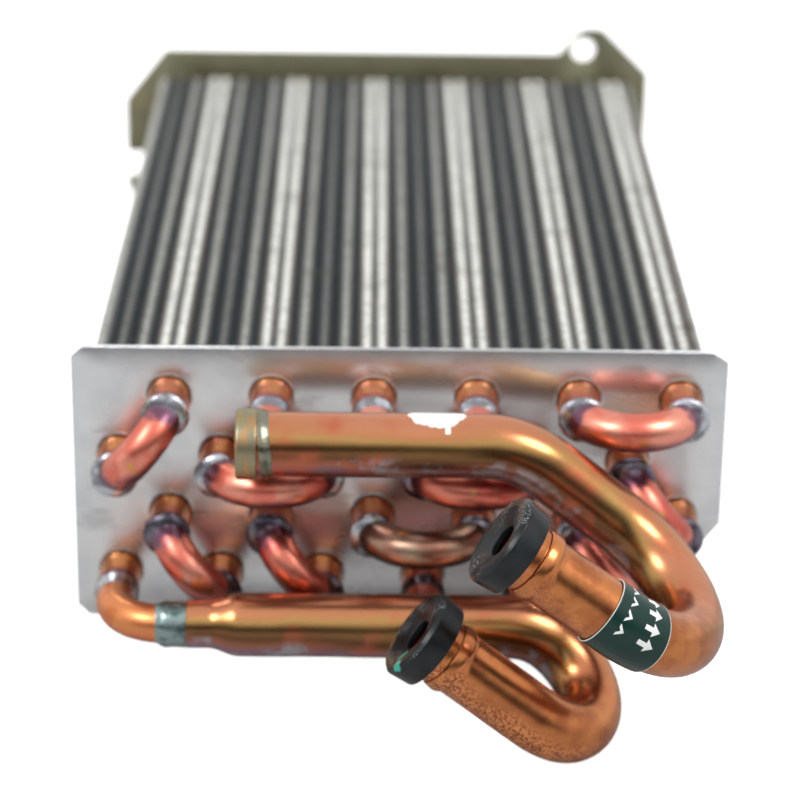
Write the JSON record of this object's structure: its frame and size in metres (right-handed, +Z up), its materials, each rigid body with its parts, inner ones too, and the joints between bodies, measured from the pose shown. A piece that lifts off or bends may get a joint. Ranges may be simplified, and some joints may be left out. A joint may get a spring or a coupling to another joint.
{
  "type": "finned water coil",
  "caption": "Finned-tube water-to-air heat exchanger coil: copper hairpin tubes through aluminium fins, tube sheets at both ends, inlet and outlet pipes with rubber caps.",
  "frame": {"origin": "centre of the front tube sheet's outer face", "axes": "+X to the right along the tube rows seen from the pipe side, +Y back through the fins, +Z up"},
  "size_m": [0.1706, 0.3675, 0.0971],
  "materials": {
    "galvanised_sheet": "galvanised, dull metallic",
    "chromated_sheet": "olive yellow-chromated zinc",
    "fin_aluminium": "thin pressed fin stock, bright",
    "tube_copper": "drawn copper, darkened near the brazing",
    "bend_copper": "heat-tinted copper with silver braze rings",
    "heated_copper": "brown-gold heat-tinted copper",
    "cap_rubber": "moulded black rubber",
    "flow_label": "satin printed film"
  },
  "bodies": {
    "coil": {"front_tube_sheet": "galvanised_sheet", "rear_tube_sheet": "chromated_sheet", "fin_pack": "fin_aluminium", "hairpin_T1_U2": "tube_copper", "hairpin_T2_U3": "tube_copper", "hairpin_T3_U4": "tube_copper", "hairpin_T4_T5": "tube_copper", "hairpin_T6_U6": "tube_copper", "hairpin_U1_V1": "tube_copper", "hairpin_U5_V4": "tube_copper", "hairpin_V2_V3": "tube_copper", "hairpin_V5_W5": "tube_copper", "hairpin_V6_W6": "tube_copper", "hairpin_W1_W2": "tube_copper", "hairpin_W3_W4": "tube_copper", "return_bend_T1_U1": "bend_copper", "return_bend_T5_T6": "bend_copper", "return_bend_U2_U3": "bend_copper", "return_bend_U4_U5": "bend_copper", "return_bend_U6_V6": "bend_copper", "return_bend_V1_W2": "bend_copper", "return_bend_V2_W3": "bend_copper", "return_bend_V3_V4": "bend_copper", "return_bend_V5_W6": "bend_copper", "inlet_feeder_T2": "bend_copper", "inlet_feeder_T3": "bend_copper", "inlet_feeder_T4": "bend_copper", "outlet_feeder_W4": "bend_copper", "outlet_feeder_W5": "bend_copper", "outlet_elbow": "heated_copper", "inlet_header_pipe": "heated_copper", "inlet_header_end_cap": "heated_copper", "outlet_header_pipe": "heated_copper", "inlet_flow_label": "flow_label"},
    "inlet_cap": {"inlet_rubber_cap": "cap_rubber"},
    "outlet_cap": {"outlet_rubber_cap": "cap_rubber"}
  },
  "joints": [
    {"name": "inlet_cap_pull", "type": "slide", "parent": "coil", "child": "inlet_cap", "axis": [-0.8007, 0, 0.599], "range_m": [0, 0.03]},
    {"name": "outlet_cap_pull", "type": "slide", "parent": "coil", "child": "outlet_cap", "axis": [-0.788, 0, 0.6157], "range_m": [0, 0.03]}
  ]
}
